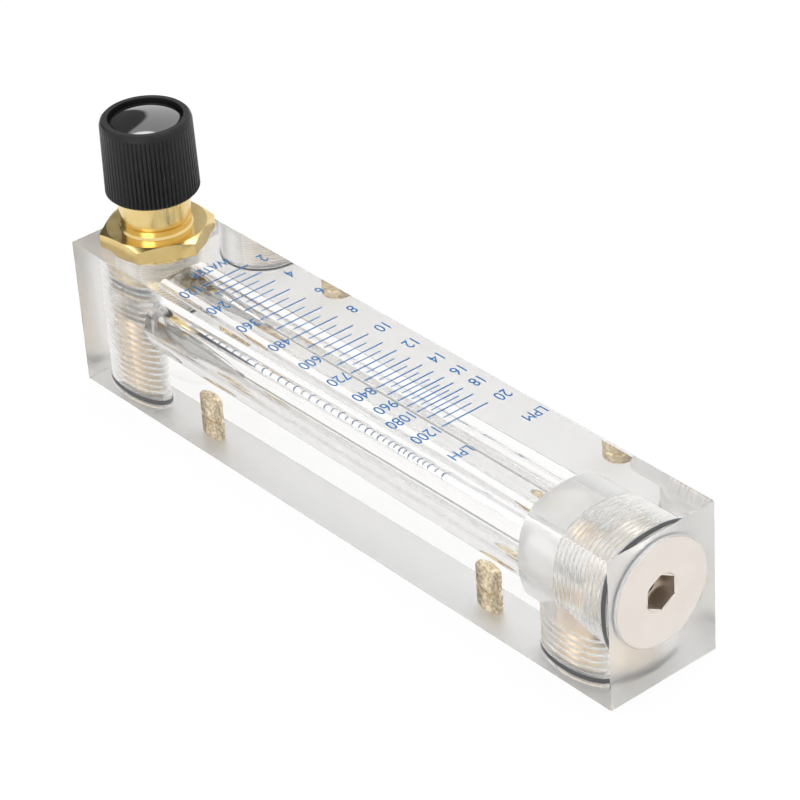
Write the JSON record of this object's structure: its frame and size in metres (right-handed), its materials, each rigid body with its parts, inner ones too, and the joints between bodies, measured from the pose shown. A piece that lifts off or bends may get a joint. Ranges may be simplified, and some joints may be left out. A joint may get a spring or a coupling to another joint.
{
  "type": "rotameter",
  "caption": "Clear acrylic block flow meter with a tapered bore, a float, a printed scale and a brass needle valve with a fluted knob.",
  "frame": {"origin": "centre of the rear mounting face of the block", "axes": "+X along the flow from the valve end to the end plug (up in use), +Y across the scale, +Z out of the scale face"},
  "size_m": [0.1524, 0.0254, 0.0593],
  "materials": {
    "clear_acrylic": "clear polished acrylic, machined passages slightly frosted",
    "brass": "turned brass",
    "nickel_plate": "satin nickel plate",
    "stainless": "turned stainless steel",
    "dark_steel": "black oxide steel",
    "black_plastic": "satin black moulded plastic",
    "cap_plastic": "glossy black plastic",
    "seat_plastic": "white seat plastic",
    "black_rubber": "nitrile rubber"
  },
  "bodies": {
    "block": {"acrylic_block": "clear_acrylic", "end_plug": "nickel_plate", "end_plug_oring": "black_rubber", "upper_float_stop": "stainless", "lower_float_stop": "stainless", "guide_rod": "stainless", "valve_bonnet": "brass", "bonnet_oring": "black_rubber", "valve_seat": "seat_plastic", "inlet_fitting": "brass", "inlet_fitting_oring": "black_rubber", "outlet_fitting": "brass", "outlet_fitting_oring": "black_rubber", "lower_mounting_insert": "brass", "upper_mounting_insert": "brass"},
    "metering_float": {"float": "dark_steel"},
    "stem_seals": {"stem_oring_lower": "black_rubber", "stem_oring_upper": "black_rubber", "stem_retaining_ring": "stainless"},
    "valve_spindle": {"valve_stem": "stainless", "knob": "black_plastic", "knob_cap": "cap_plastic", "knob_insert": "brass", "knob_set_screw": "dark_steel"}
  },
  "joints": [
    {"name": "float_rise", "type": "slide", "parent": "block", "child": "metering_float", "axis": [1, 0, 0], "range_m": [0, 0.0896]},
    {"name": "stem_lift", "type": "slide", "parent": "block", "child": "stem_seals", "axis": [0, 0, 1], "range_m": [0, 0.00325]},
    {"name": "knob_turn", "type": "hinge", "parent": "stem_seals", "child": "valve_spindle", "pos_m": [-0.0647, 0, 0.04], "axis": [0, 0, 1], "range_deg": [0, 1440]}
  ],
  "couplings": [
    {"joint": "stem_lift", "follows": "knob_turn", "m_per_rad": 0.00012732}
  ]
}
